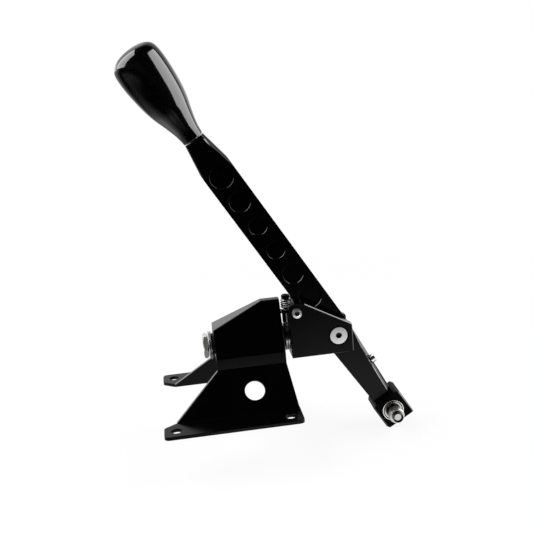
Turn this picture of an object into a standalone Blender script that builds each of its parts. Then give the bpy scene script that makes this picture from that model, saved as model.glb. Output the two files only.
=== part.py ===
"""Short shifter on a saddle bracket. Metres, +Z up, origin on the floor plane under the flanges."""
import math

import bmesh
import bpy
from mathutils import Matrix, Vector

MM = 0.001

# General clearances
GAP = 0.3            # between pieces that touch
RUN = 0.08           # radial clearance of a running fit
STEPS = 48           # facets of the large round pieces
STEPS_SMALL = 28     # facets of screws and pins

# Saddle bracket
FLANGE_T = 3.0       # thickness of the bolting flanges
SHEET = 3.0          # thickness of legs, box walls and roof
HOLE_X = 46.0        # half the fore-and-aft distance of the flange holes
HOLE_Y = 58.5        # half the side-to-side distance of the flange holes
HOLE_R = 4.3
FLANGE_X = 56.0      # half length of a flange
FLANGE_Y = 69.0      # outer edge of a flange
EAR_Y = 51.0         # inner corner of a front ear
CORNER_R = 4.0
FOOT_X0 = -45.5      # front end of a leg at the flange
FOOT_X1 = 55.5       # rear end of a leg at the flange
FOOT_Y = 44.3        # outer face of a leg at the flange
BOX_X0 = -7.7        # nose of the box
BOX_X1 = 50.4        # rear of the box
BAND_Z0 = 34.6       # lower bend of the legs
BAND_Z1 = 45.0       # upper bend of the legs
BAND_Y = 21.4        # outer face of the upright band
NOSE_Z = 67.0        # roof height at the nose
RIDGE_Z = 85.6       # height of the flat ridge
RIDGE_X = 34.5       # where the sloping cover meets the ridge
RIDGE_Y = 4.1        # half width of the ridge
WINDOW_X = 20.9      # round window in each leg
WINDOW_Z = 18.6
WINDOW_R = 8.3
PLATE_T = 4.0        # the two bulkheads in the box

# Gate shaft, on which the carrier swings from side to side
AXIS_Z = 51.0
SHAFT_R = 6.0
BUSH_WALL = 2.0
BUSH_FLANGE_R = 10.0
BUSH_FLANGE_T = 1.5
BUSH_LENGTH = 9.0
WASHER_R = 12.05
WASHER_T = 1.25
REAR_WASHER_T = 1.65
NUT_FLATS = 19.0
NUT_T = 4.2
SHAFT_HEAD_R = 9.2
SHAFT_HEAD_T = 6.0

# Gate stop post behind the box
POST_X = 56.2
BARREL_R = 3.9
BARREL_Z0 = 63.6
TONGUE_Z0 = 72.8
TONGUE_T = 1.5
TONGUE_Y = 4.6
TONGUE_REACH = 4.0
STOP_SCREW_R = 2.0
STOP_HEAD_R = 3.5
STOP_HEAD_T = 3.4
SPRING_R = 4.0
SPRING_WIRE_R = 0.6
SPRING_TURNS = 3.0
SPRING_L = 7.0
POST_WASHER_R = 4.6
POST_WASHER_T = 0.9

# Carrier yoke
YOKE_X0 = BOX_X1 + BUSH_FLANGE_T + 2 * REAR_WASHER_T + 4 * GAP
YOKE_X1 = 109.2
YOKE_Z0 = 35.5
YOKE_Z1 = 82.3
YOKE_Z2 = 60.2       # height of the rear edge of a cheek
YOKE_TOP_X = 70.0    # end of the flat top of a cheek
YOKE_Y = 16.0        # outer face of a cheek
CHEEK_T = 6.0
WEB_T = 10.2
SHELF_Z = 62.8
POCKET_X = 61.1
STEP_Z = 68.7
BLOCK_TOP_Z = 81.3
BLOCK_SCREW_X = 62.6
BLOCK_SCREW_Z = 75.6
BLOCK_SCREW_R = 1.6
BLOCK_SCREW_HEAD_R = 4.0
BLOCK_SCREW_HEAD_T = 4.0
BLOCK_SCREW_L = 7.0

# Lever pivot
PIVOT_X = 97.1
PIVOT_R = 4.0
PIVOT_HEAD_R = 7.85
PIVOT_NUT_FLATS = 13.0
PIVOT_NUT_T = 6.5

# Lever, measured along its own axis from the pivot
LEAN = 30.8          # degrees forward of upright
LEVER_W = 13.25      # half width of the bar
LEVER_T = 6.5        # half thickness of the bar
LEVER_L = 202.4      # pivot to the end of the neck
NECK_R = 8.8
NECK_TAPER = 0.172
POCKET_FIRST = 40.0
POCKET_PITCH = 25.2
POCKET_D = (18.4, 16.4, 14.2, 14.2, 16.4, 18.6)
POCKET_DEPTH = 3.4
ARM_L = 74.6         # pivot to the end of the lower arm
ARM_W0 = 10.2        # half widths at the end of the arm, front and rear
ARM_W1 = 8.5
FACET_W1 = 5.1       # where the sloping rear facet leaves the near face, at the end of the arm
FACET_W0 = 9.2       # the same, at the bend of the facet
FACET_BEND = 25.0    # from the pivot to that bend
FACET_START = 2.5    # height at which the facet has run out
FACET_Y = 2.6        # where the facet meets the rear edge of the arm
SLOT_W = 3.0
SLOT_L = 36.4        # from the end of the arm
CLAMP_BELOW = 3.4    # throw clamp screw, below the end of the slot
CLAMP_R = 2.0
CLAMP_HEAD_R = 4.0
CLAMP_HEAD_T = 4.2
CLAMP_L = 5.0
LEVER_BUSH_WALL = 1.5
LEVER_BUSH_R = 9.0

# Knob
KNOB_STUD_R = 4.0
KNOB_STUD_DEPTH = 16.0
KNOB_STUD_REACH = 24.0
KNOB_GAP = 0.6
KNOB_PROFILE = ((9.15, 0.0), (9.85, 8.0), (11.45, 14.0), (13.7, 21.5), (16.05, 28.0), (18.0, 35.5),
                (19.25, 43.0), (20.2, 51.5), (20.8, 59.5), (20.9, 66.0), (20.6, 72.6), (19.7, 76.8), (17.8, 79.8),
                (14.6, 82.1), (10.4, 83.9), (5.2, 85.0), (0.0, 85.4))

# Cable block
BLOCK_H = 24.8
BLOCK_W0 = 13.8      # half widths, front and rear
BLOCK_W1 = 13.3
BLOCK_Y = 12.5
BLOCK_CHAMFER = 2.2
TANG_W0 = 7.0
TANG_W1 = 1.6
TANG_SHORT = 3.9     # tang shorter than the slot
BEARING_DROP = 12.5  # from the block's top to the bearing
BEARING_W = -0.7
RACE_R = 9.5
RACE_L = 8.8
RACE_PROUD = 0.6
BALL_R = 6.7
BALL_L = 8.4
PIN_R = 3.1
SLEEVE_R = 6.6
SLEEVE_START = 5.9   # from the ball's centre to the sleeve's shoulder
SLEEVE_L = 9.1
SLEEVE_COLLAR_L = 6.5
SLEEVE_FOOT_R = 4.7
STUD_HEAD_R = 4.5
STUD_HEAD_T = 3.5
STUD_END_R = 3.2
RELIEF_R = 6.0       # hole through the block behind the bearing
PIN_HEAD_RIM = 1.6
PIN_HEAD_T = 2.0


def clear():
    for item in list(bpy.data.objects):
        bpy.data.objects.remove(item, do_unlink=True)


def material(name, colour, roughness, metallic):
    mat = bpy.data.materials.new(name)
    mat.use_nodes = True
    shader = mat.node_tree.nodes["Principled BSDF"]
    shader.inputs["Base Color"].default_value = (*colour, 1.0)
    shader.inputs["Roughness"].default_value = roughness
    shader.inputs["Metallic"].default_value = metallic
    return mat


def prism(points, axis, low, high):
    """Closed solid from a flat outline, in millimetres, drawn out along one axis."""
    order = {"X": lambda a, b, c: (c, a, b), "Y": lambda a, b, c: (a, c, b), "Z": lambda a, b, c: (a, b, c)}[axis]
    bm = bmesh.new()
    verts = [bm.verts.new(Vector(order(a, b, low)) * MM) for a, b in points]
    face = bm.faces.new(verts)
    drawn = bmesh.ops.extrude_face_region(bm, geom=[face])
    moved = [g for g in drawn["geom"] if isinstance(g, bmesh.types.BMVert)]
    bmesh.ops.translate(bm, verts=moved, vec=(Vector(order(0, 0, high)) - Vector(order(0, 0, low))) * MM)
    bmesh.ops.recalc_face_normals(bm, faces=bm.faces)
    return bm


def loft(sections):
    """Closed solid through flat sections of equal count, in millimetres."""
    bm = bmesh.new()
    rings = [[bm.verts.new(Vector(point) * MM) for point in section] for section in sections]
    count = len(sections[0])
    for one, two in zip(rings, rings[1:]):
        for k in range(count):
            bm.faces.new((one[k], one[(k + 1) % count], two[(k + 1) % count], two[k]))
    bm.faces.new(rings[0])
    bm.faces.new(rings[-1])
    bmesh.ops.triangulate(bm, faces=bm.faces)
    bmesh.ops.recalc_face_normals(bm, faces=bm.faces)
    return bm


def turned(profile, steps, axis="Z", origin=(0, 0, 0), closed=False):
    """Solid of revolution. The profile gives (radius, height) pairs in millimetres."""
    bm = bmesh.new()
    verts = [bm.verts.new((r * MM, 0, h * MM)) for r, h in profile]
    pairs = list(zip(verts, verts[1:]))
    if closed:
        pairs.append((verts[-1], verts[0]))
    edges = [bm.edges.new(pair) for pair in pairs]
    bmesh.ops.spin(bm, geom=verts + edges, cent=(0, 0, 0), axis=(0, 0, 1), angle=2 * math.pi, steps=steps,
                   use_merge=True)
    bmesh.ops.remove_doubles(bm, verts=bm.verts, dist=0.000001)
    bmesh.ops.recalc_face_normals(bm, faces=bm.faces)
    turn = {"X": Matrix.Rotation(math.pi / 2, 4, "Y"), "Y": Matrix.Rotation(-math.pi / 2, 4, "X"),
            "Z": Matrix.Identity(4)}[axis]
    bmesh.ops.transform(bm, matrix=Matrix.Translation(Vector(origin) * MM) @ turn, verts=bm.verts)
    return bm


def rod(radius, low, high, steps, axis, origin=(0, 0, 0)):
    return turned(((0, low), (radius, low), (radius, high), (0, high)), steps, axis, origin)


def ring(inner, outer, low, high, steps, axis, origin=(0, 0, 0)):
    return turned(((inner, low), (outer, low), (outer, high), (inner, high)), steps, axis, origin, closed=True)


def hexagon(flats):
    radius = flats / math.sqrt(3)
    return [(radius * math.cos(math.radians(60 * k)), radius * math.sin(math.radians(60 * k))) for k in range(6)]


def place(name, bm, mat=None, parent=None, smooth=True):
    mesh = bpy.data.meshes.new(name)
    bm.to_mesh(mesh)
    bm.free()
    obj = bpy.data.objects.new(name, mesh)
    bpy.context.scene.collection.objects.link(obj)
    if parent:
        obj.parent = parent
    if mat:
        mesh.materials.append(mat)
        if smooth:
            mesh.shade_smooth()
            mesh.set_sharp_from_angle(angle=math.radians(32))
    return obj


def combine(obj, bm, name, operation="DIFFERENCE"):
    tool = place(name, bm, parent=obj.parent)
    tool.hide_render = True
    tool.display_type = "WIRE"
    change = obj.modifiers.new(name, "BOOLEAN")
    change.operation = operation
    change.solver = "EXACT"
    change.object = tool
    return tool


def pivot(name, where, turn=(0, 0, 0)):
    empty = bpy.data.objects.new(name, None)
    empty.location = Vector(where) * MM
    empty.rotation_euler = turn
    bpy.context.scene.collection.objects.link(empty)
    return empty


def shift_line(a, b, distance):
    """The line a-b moved sideways, to the right of its direction."""
    length = math.hypot(b[0] - a[0], b[1] - a[1])
    nx = (b[1] - a[1]) / length * distance
    ny = -(b[0] - a[0]) / length * distance
    return (a[0] + nx, a[1] + ny), (b[0] + nx, b[1] + ny)


def meet(p, q):
    (x1, y1), (x2, y2) = p
    (x3, y3), (x4, y4) = q
    bottom = (x1 - x2) * (y3 - y4) - (y1 - y2) * (x3 - x4)
    one = x1 * y2 - y1 * x2
    two = x3 * y4 - y3 * x4
    return ((one * (x3 - x4) - (x1 - x2) * two) / bottom, (one * (y3 - y4) - (y1 - y2) * two) / bottom)


def rounded(points, radii, steps=5):
    """Outline with some of its corners rounded."""
    out = []
    count = len(points)
    for k, (point, radius) in enumerate(zip(points, radii)):
        here = Vector(point)
        if radius <= 0:
            out.append(tuple(here))
            continue
        before = (Vector(points[k - 1]) - here).normalized()
        after = (Vector(points[(k + 1) % count]) - here).normalized()
        angle = before.angle(after)
        back = radius / math.tan(angle / 2)
        centre = here + (before + after).normalized() * radius / math.sin(angle / 2)
        start = here + before * back - centre
        end = here + after * back - centre
        for s in range(steps + 1):
            way = start.lerp(end, s / steps).normalized() * radius
            out.append(tuple(centre + way))
    return out


clear()

BLACK = material("satin_black", (0.018, 0.018, 0.02), 0.42, 0.0)
PLATE_BLACK = material("plate_black", (0.022, 0.022, 0.024), 0.5, 0.0)
CHARCOAL = material("charcoal_anodised", (0.06, 0.062, 0.07), 0.4, 0.6)
LEVER_BLACK = material("lever_black", (0.02, 0.02, 0.022), 0.38, 0.2)
BLOCK_GREY = material("block_charcoal", (0.05, 0.05, 0.056), 0.4, 0.5)
KNOB_GLOSS = material("knob_gloss", (0.012, 0.012, 0.013), 0.12, 0.0)
STEEL = material("plain_steel", (0.56, 0.55, 0.53), 0.35, 1.0)
BRIGHT = material("bright_steel", (0.78, 0.78, 0.76), 0.18, 1.0)
ZINC = material("zinc_steel", (0.66, 0.66, 0.64), 0.3, 1.0)
DARK_STEEL = material("black_steel", (0.03, 0.03, 0.032), 0.4, 0.4)
BUSHING = material("bush_polymer", (0.04, 0.04, 0.042), 0.5, 0.0)
CHROME = material("bearing_chrome", (0.8, 0.8, 0.74), 0.12, 1.0)

# Half section of the bracket: leg, upright band, leaning box wall, ridge
LEG = ((FOOT_Y, FLANGE_T), (BAND_Y, BAND_Z0))
BAND = ((BAND_Y, BAND_Z0), (BAND_Y, BAND_Z1))
WALL = ((BAND_Y, BAND_Z1), (RIDGE_Y, RIDGE_Z))


def inner_half(depth):
    """Inside outline of the bracket, a given depth below its outer faces, foot to ridge."""
    leg = shift_line(*LEG, -depth)
    band = shift_line(*BAND, -depth)
    wall = shift_line(*WALL, -depth)
    top = ((0, RIDGE_Z - depth), (1, RIDGE_Z - depth))
    foot = meet(leg, ((0, -6), (1, -6)))
    ridge = meet(wall, top)
    if ridge[0] < 0.2:
        ridge = meet(wall, ((0.2, 0), (0.2, 1)))
    return [foot, meet(leg, band), meet(band, wall), ridge]


def mirrored(half):
    return list(half) + [(-y, z) for y, z in reversed(half)]


def roof_z(x, depth):
    """Height of the sloping cover at x, a given depth below its outer face."""
    line = shift_line((BOX_X0, NOSE_Z), (RIDGE_X, RIDGE_Z), depth)
    slope = (line[1][1] - line[0][1]) / (line[1][0] - line[0][0])
    return min(line[0][1] + (x - line[0][0]) * slope, RIDGE_Z - depth)


def wall_y(z, depth):
    """Half width of the box at a height, a given depth below its outer faces."""
    wall = shift_line(*WALL, -depth)
    return meet(wall, ((0, z), (1, z)))[0]


OUTER = [(FLANGE_Y, 0), (FLANGE_Y, FLANGE_T), LEG[0], LEG[1], BAND[1], WALL[1]]
bracket = place("saddle_bracket", prism(mirrored(OUTER), "X", -FLANGE_X - 4, FLANGE_X + 4), BLACK)
side = [(-FLANGE_X - 1, -4), (FLANGE_X + 1, -4), (FLANGE_X + 1, FLANGE_T), (FOOT_X1, FLANGE_T), (BOX_X1, BAND_Z0),
        (BOX_X1, RIDGE_Z + 4), (RIDGE_X, RIDGE_Z + 4), (RIDGE_X, RIDGE_Z), (BOX_X0, NOSE_Z), (BOX_X0, BAND_Z0),
        (FOOT_X0, FLANGE_T), (-FLANGE_X - 1, FLANGE_T)]
combine(bracket, prism(side, "Y", -FLANGE_Y - 3, FLANGE_Y + 3), "bracket_side_outline", "INTERSECT")
foot_end = (FOOT_X0, FOOT_Y - 1)
plan = [(-FLANGE_X, -FLANGE_Y), (FLANGE_X, -FLANGE_Y), (FLANGE_X, FLANGE_Y), (-FLANGE_X, FLANGE_Y),
        (-FLANGE_X, EAR_Y), foot_end, (foot_end[0], -foot_end[1]), (-FLANGE_X, -EAR_Y)]
plan = rounded(plan, [CORNER_R, CORNER_R, CORNER_R, CORNER_R, CORNER_R, 0, 0, CORNER_R])
combine(bracket, prism(plan, "Z", -3, RIDGE_Z + 3), "bracket_plan_outline", "INTERSECT")
inside = prism(mirrored(inner_half(SHEET)), "X", -FLANGE_X - 9, FLANGE_X + 9)
reach = -FLANGE_X - 12
drop = (NOSE_Z - RIDGE_Z) / (RIDGE_X - BOX_X0)
low = roof_z(BOX_X0, SHEET)
below = [(reach, -9), (FLANGE_X + 12, -9), (FLANGE_X + 12, RIDGE_Z + 9),
         (RIDGE_X + 30, low - drop * (RIDGE_X + 30 - BOX_X0)), (reach, low - drop * (reach - BOX_X0))]
hollow = combine(bracket, inside, "bracket_inside")
combine(hollow, prism(below, "Y", -FLANGE_Y - 9, FLANGE_Y + 9), "bracket_under_cover", "INTERSECT")
for k, (sx, sy) in enumerate(((-1, -1), (1, -1), (1, 1), (-1, 1))):
    combine(bracket, rod(HOLE_R, -3, FLANGE_T + 3, STEPS, "Z", (sx * HOLE_X, sy * HOLE_Y, 0)), f"flange_hole_{k}")
lean = math.atan2(FOOT_Y - BAND_Y, BAND_Z0 - FLANGE_T)
window_y = FOOT_Y - (WINDOW_Z - FLANGE_T) * math.tan(lean)
for k, sy in enumerate((-1, 1)):
    window = rod(WINDOW_R, -SHEET - 8, SHEET + 8, STEPS, "Z")
    aim = Matrix.Rotation(-sy * (math.pi / 2 - lean), 4, "X")
    aim = Matrix.Translation(Vector((WINDOW_X, sy * window_y, WINDOW_Z)) * MM) @ aim
    bmesh.ops.transform(window, matrix=aim, verts=window.verts)
    combine(bracket, window, f"leg_window_{k}")

# Bulkheads, with the bush seats; the rear one carries the tongue of the stop post
SEAT_R = SHAFT_R + RUN + BUSH_WALL + GAP
inner = inner_half(SHEET + GAP)
nose_top = roof_z(BOX_X0 + GAP, SHEET + GAP)
front = [(inner[1][0], BAND_Z0), inner[2], (wall_y(nose_top, SHEET + GAP), nose_top)]
front_plate = place("front_plate", prism(mirrored(front), "X", BOX_X0 + GAP, BOX_X0 + GAP + PLATE_T), PLATE_BLACK)
combine(front_plate, rod(SEAT_R, BOX_X0 - 9, BOX_X0 + 19, STEPS, "X", (0, 0, AXIS_Z)), "front_seat")
rear = [(inner[1][0], BAND_Z0), inner[2], inner[3]]
rear_plate = place("rear_plate", prism(mirrored(rear), "X", BOX_X1 - PLATE_T, BOX_X1), PLATE_BLACK)
TONGUE_X = POST_X + TONGUE_REACH
tongue = [(BOX_X1 - PLATE_T / 2, -TONGUE_Y), (TONGUE_X, -TONGUE_Y), (TONGUE_X, TONGUE_Y),
          (BOX_X1 - PLATE_T / 2, TONGUE_Y)]
tongue = prism(rounded(tongue, [0, 2.0, 2.0, 0]), "Z", TONGUE_Z0, TONGUE_Z0 + TONGUE_T)
combine(rear_plate, tongue, "rear_tongue", "UNION")
combine(rear_plate, rod(SEAT_R, BOX_X1 - 19, BOX_X1 + 2, STEPS, "X", (0, 0, AXIS_Z)), "rear_seat")
combine(rear_plate, rod(STOP_SCREW_R + GAP, TONGUE_Z0 - 2, TONGUE_Z0 + TONGUE_T + 2, STEPS_SMALL, "Z", (POST_X, 0, 0)),
        "tongue_hole")

BUSH_IN = SHAFT_R + RUN
BUSH_OUT = BUSH_IN + BUSH_WALL


def bush(face, way):
    """Flanged bush; its flange lies outside the given bulkhead face, way is the outward direction."""
    start = face + way * GAP
    profile = [(BUSH_IN, start + way * BUSH_FLANGE_T), (BUSH_FLANGE_R, start + way * BUSH_FLANGE_T),
               (BUSH_FLANGE_R, start), (BUSH_OUT, start), (BUSH_OUT, start - way * BUSH_LENGTH),
               (BUSH_IN, start - way * BUSH_LENGTH)]
    return turned(profile, STEPS, "X", (0, 0, AXIS_Z), closed=True)


place("front_bush", bush(BOX_X0, -1), BUSHING)
place("rear_bush", bush(BOX_X1, 1), BUSHING)

# Gate stop post: barrel below the tongue, washer, spring, washer and screw above it
BARREL_Z1 = TONGUE_Z0 - GAP
place("stop_barrel", ring(STOP_SCREW_R + GAP, BARREL_R, BARREL_Z0, BARREL_Z1, STEPS_SMALL, "Z", (POST_X, 0, 0)), BRIGHT)
LOW_WASHER_Z = TONGUE_Z0 + TONGUE_T + GAP
SPRING_Z0 = LOW_WASHER_Z + POST_WASHER_T + GAP
HIGH_WASHER_Z = SPRING_Z0 + SPRING_L + GAP
HEAD_Z = HIGH_WASHER_Z + POST_WASHER_T + GAP
for label, z in (("low", LOW_WASHER_Z), ("high", HIGH_WASHER_Z)):
    washer = ring(STOP_SCREW_R + GAP, POST_WASHER_R, z, z + POST_WASHER_T, STEPS_SMALL, "Z", (POST_X, 0, 0))
    place(f"stop_washer_{label}", washer, BRIGHT)
SOCKET_R = STOP_HEAD_R * 0.5
screw = turned(((0, BARREL_Z0 + 1.2), (STOP_SCREW_R, BARREL_Z0 + 1.2), (STOP_SCREW_R, HEAD_Z), (STOP_HEAD_R, HEAD_Z),
                (STOP_HEAD_R, HEAD_Z + STOP_HEAD_T), (SOCKET_R, HEAD_Z + STOP_HEAD_T),
                (SOCKET_R, HEAD_Z + STOP_HEAD_T * 0.5), (0, HEAD_Z + STOP_HEAD_T * 0.5)), STEPS_SMALL, "Z", (POST_X, 0, 0))
place("stop_screw", screw, DARK_STEEL)


def coil(radius, wire, turns, length, steps=18, sides=8):
    """Helical wire, closed at both ends, standing on z = 0."""
    bm = bmesh.new()
    count = int(turns * steps)
    rings = []
    for k in range(count + 1):
        angle = 2 * math.pi * turns * k / count
        height = wire + (length - 2 * wire) * k / count
        out = Vector((math.cos(angle), math.sin(angle), 0))
        centre = out * radius + Vector((0, 0, height))
        rings.append([bm.verts.new((centre + out * wire * math.cos(a) + Vector((0, 0, wire * math.sin(a)))) * MM)
                      for a in (2 * math.pi * j / sides for j in range(sides))])
    for one, two in zip(rings, rings[1:]):
        for j in range(sides):
            bm.faces.new((one[j], one[(j + 1) % sides], two[(j + 1) % sides], two[j]))
    bm.faces.new(rings[0])
    bm.faces.new(rings[-1])
    bmesh.ops.recalc_face_normals(bm, faces=bm.faces)
    return bm


spring = coil(SPRING_R, SPRING_WIRE_R, SPRING_TURNS, SPRING_L)
bmesh.ops.translate(spring, verts=spring.verts, vec=Vector((POST_X, 0, SPRING_Z0)) * MM)
place("stop_spring", spring, BRIGHT)

# Carrier: shaft, nut, washers, yoke, stop block and pivot bolt
gate = pivot("gate_axis", (0, 0, AXIS_Z))
FRONT_X = BOX_X0 - GAP - BUSH_FLANGE_T
WASHER_X = [FRONT_X - GAP - WASHER_T, FRONT_X - 2 * GAP - 2 * WASHER_T]
NUT_X = WASHER_X[1] - GAP - NUT_T
WEB_X1 = YOKE_X0 + WEB_T
HEAD_X = WEB_X1 + GAP
profile = ((0, NUT_X + 0.2), (SHAFT_R - 0.5, NUT_X + 0.2), (SHAFT_R, NUT_X + 0.7), (SHAFT_R, HEAD_X),
           (SHAFT_HEAD_R, HEAD_X), (SHAFT_HEAD_R, HEAD_X + SHAFT_HEAD_T - 0.6),
           (SHAFT_HEAD_R - 0.6, HEAD_X + SHAFT_HEAD_T), (0, HEAD_X + SHAFT_HEAD_T))
place("gate_shaft", turned(profile, STEPS, "X"), STEEL, gate)
nut = place("shaft_nut", prism([(b, a) for a, b in hexagon(NUT_FLATS)], "X", NUT_X, NUT_X + NUT_T), ZINC, gate)
combine(nut, rod(SHAFT_R + GAP, NUT_X - 3, NUT_X + NUT_T + 3, STEPS, "X"), "nut_bore")
for k, x in enumerate(WASHER_X):
    place(f"front_washer_{k + 1}", ring(SHAFT_R + GAP, WASHER_R, x, x + WASHER_T, STEPS, "X"), ZINC, gate)
REAR_X = BOX_X1 + GAP + BUSH_FLANGE_T + GAP
for k, x in enumerate((REAR_X, REAR_X + REAR_WASHER_T + GAP)):
    place(f"rear_washer_{k + 1}", ring(SHAFT_R + GAP, WASHER_R, x, x + REAR_WASHER_T, STEPS, "X"), STEEL, gate)


def low_z(points):
    return [(x, z - AXIS_Z) for x, z in points]


cheek = [(YOKE_X0, YOKE_Z0), (YOKE_X1, YOKE_Z0), (YOKE_X1, YOKE_Z2), (YOKE_TOP_X, YOKE_Z1), (YOKE_X0, YOKE_Z1)]
cheek = rounded(cheek, [0.8, 1.0, 2.0, 1.5, 0.8], 3)
yoke = place("carrier_yoke", prism(low_z(cheek), "Y", -YOKE_Y, YOKE_Y), CHARCOAL, gate)
room = [(YOKE_X0 - 4, SHELF_Z), (POCKET_X, SHELF_Z), (POCKET_X, STEP_Z), (WEB_X1, STEP_Z), (WEB_X1, YOKE_Z0 - 4),
        (YOKE_X1 + 4, YOKE_Z0 - 4), (YOKE_X1 + 4, YOKE_Z1 + 4), (YOKE_X0 - 4, YOKE_Z1 + 4)]
CHEEK_Y = YOKE_Y - CHEEK_T
combine(yoke, prism(low_z(room), "Y", -CHEEK_Y, CHEEK_Y), "yoke_room")
combine(yoke, rod(SHAFT_R + GAP, YOKE_X0 - 2, WEB_X1 + 2, STEPS, "X"), "yoke_shaft_bore")
SINK = PIVOT_HEAD_R - PIVOT_R
side_gap = GAP * 1.2
sunk = ((0, -YOKE_Y - 2), (PIVOT_HEAD_R + side_gap, -YOKE_Y - 2), (PIVOT_HEAD_R + side_gap, -YOKE_Y),
        (PIVOT_R + GAP, -YOKE_Y + SINK + side_gap * 0.4), (PIVOT_R + GAP, YOKE_Y + 2), (0, YOKE_Y + 2))
combine(yoke, turned(sunk, STEPS, "Y", (PIVOT_X, 0, 0)), "yoke_pivot_bore")
BLOCK_Z = BLOCK_SCREW_Z - AXIS_Z
combine(yoke, rod(BLOCK_SCREW_R + GAP, -YOKE_Y - 2, YOKE_Y + 2, STEPS_SMALL, "Y", (BLOCK_SCREW_X, 0, BLOCK_Z)),
        "yoke_screw_holes")

slant = math.tan(math.radians(LEAN))
edge = PIVOT_X - (LEVER_W + GAP) / math.cos(math.radians(LEAN))


def lever_front(z):
    """Fore-and-aft position of the lever's front edge, less the gap, at a height."""
    return edge - (z - AXIS_Z) * slant


BLOCK_X1 = WEB_X1
shoulder = AXIS_Z + (edge - BLOCK_X1) / slant
block = [(POCKET_X, STEP_Z + GAP), (BLOCK_X1, STEP_Z + GAP), (BLOCK_X1, min(shoulder, BLOCK_TOP_Z)),
         (min(BLOCK_X1 - 0.05, lever_front(BLOCK_TOP_Z)), BLOCK_TOP_Z), (POCKET_X, BLOCK_TOP_Z)]
stop_block = place("stop_block", prism(low_z(block), "Y", -CHEEK_Y + GAP, CHEEK_Y - GAP), DARK_STEEL, gate)
combine(stop_block, rod(BLOCK_SCREW_R + GAP, -CHEEK_Y - 2, CHEEK_Y + 2, STEPS_SMALL, "Y", (BLOCK_SCREW_X, 0, BLOCK_Z)),
        "stop_block_hole")


def cap_screw(radius, length, head_r, head_t, steps=STEPS_SMALL):
    """Socket-head screw: head upward from z = 0, shank downward."""
    socket = head_r * 0.52
    return turned(((0, -length), (radius - 0.3, -length), (radius, -length + 0.3), (radius, 0), (head_r, 0),
                   (head_r, head_t - 0.4), (head_r - 0.4, head_t), (socket, head_t), (socket, head_t * 0.5),
                   (0, head_t * 0.5)), steps)


for label, sy in (("near", -1), ("far", 1)):
    screw = cap_screw(BLOCK_SCREW_R, CHEEK_T + BLOCK_SCREW_L, BLOCK_SCREW_HEAD_R, BLOCK_SCREW_HEAD_T)
    aim = Matrix.Rotation(-sy * math.pi / 2, 4, "X")
    spot = Vector((BLOCK_SCREW_X, sy * (YOKE_Y + GAP), BLOCK_Z)) * MM
    bmesh.ops.transform(screw, matrix=Matrix.Translation(spot) @ aim, verts=screw.verts)
    place(f"stop_block_screw_{label}", screw, BRIGHT, gate)

NUT_Y = YOKE_Y + GAP
socket = PIVOT_HEAD_R * 0.36
bolt = ((0, -YOKE_Y + 2.4), (socket, -YOKE_Y + 2.4), (socket, -YOKE_Y), (PIVOT_HEAD_R, -YOKE_Y),
        (PIVOT_R, -YOKE_Y + SINK), (PIVOT_R, NUT_Y + PIVOT_NUT_T + 0.6), (PIVOT_R - 0.5, NUT_Y + PIVOT_NUT_T + 1.1),
        (0, NUT_Y + PIVOT_NUT_T + 1.1))
place("pivot_bolt", turned(bolt, STEPS, "Y", (PIVOT_X, 0, 0)), BRIGHT, gate)
shape = [(PIVOT_X + a, b) for a, b in hexagon(PIVOT_NUT_FLATS)]
nut = place("pivot_nut", prism(shape, "Y", NUT_Y, NUT_Y + PIVOT_NUT_T), ZINC, gate)
combine(nut, rod(PIVOT_R + GAP, NUT_Y - 3, NUT_Y + PIVOT_NUT_T + 3, STEPS, "Y", (PIVOT_X, 0, 0)), "pivot_nut_bore")

# Lever, drawn upright about its pivot: X across the bar, Z along it
swing = pivot("lever_axis", (PIVOT_X, 0, 0), (0, -math.radians(LEAN), 0))
swing.parent = gate
SLOT_TOP = ARM_L - SLOT_L
CLAMP_AT = SLOT_TOP + CLAMP_BELOW
BLOCK_TOP = ARM_L + GAP
TANG_L = BLOCK_TOP - SLOT_TOP - TANG_SHORT
BEARING_AT = BLOCK_TOP + BEARING_DROP
outline = [(-LEVER_W, 0), (-ARM_W0, -ARM_L), (ARM_W1, -ARM_L), (LEVER_W, 0), (LEVER_W, LEVER_L),
           (-LEVER_W, LEVER_L)]
outline = rounded(outline, [0, 1.5, 1.5, 0, 0, 0], 3)
lever = place("lever_bar", prism(outline, "Y", -LEVER_T, LEVER_T), LEVER_BLACK, swing)
corner = math.hypot(LEVER_W, LEVER_T) + 1.5
cone_foot = LEVER_L - (corner - NECK_R) / NECK_TAPER
envelope = ((0, -ARM_L - 3), (corner + 4, -ARM_L - 3), (corner + 4, cone_foot - 3), (corner, cone_foot),
            (NECK_R, LEVER_L), (NECK_R, LEVER_L + 3), (0, LEVER_L + 3))
combine(lever, turned(envelope, STEPS, "Z"), "lever_turned_neck", "INTERSECT")


def rear_edge(height):
    """Rear edge of the arm at a height below the pivot."""
    return LEVER_W + (LEVER_W - ARM_W1) * height / ARM_L


def facet_section(height, near, far):
    """Corners of the wedge that slopes the arm's rear side, at one height."""
    slope = (far - near) / (LEVER_T + FACET_Y)
    return [(near - 2 * slope, -LEVER_T - 2, height), (far + 9 * slope, FACET_Y + 9, height),
            (far + 9 * slope + 14, FACET_Y + 9, height), (far + 9 * slope + 14, -LEVER_T - 2, height)]


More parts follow.
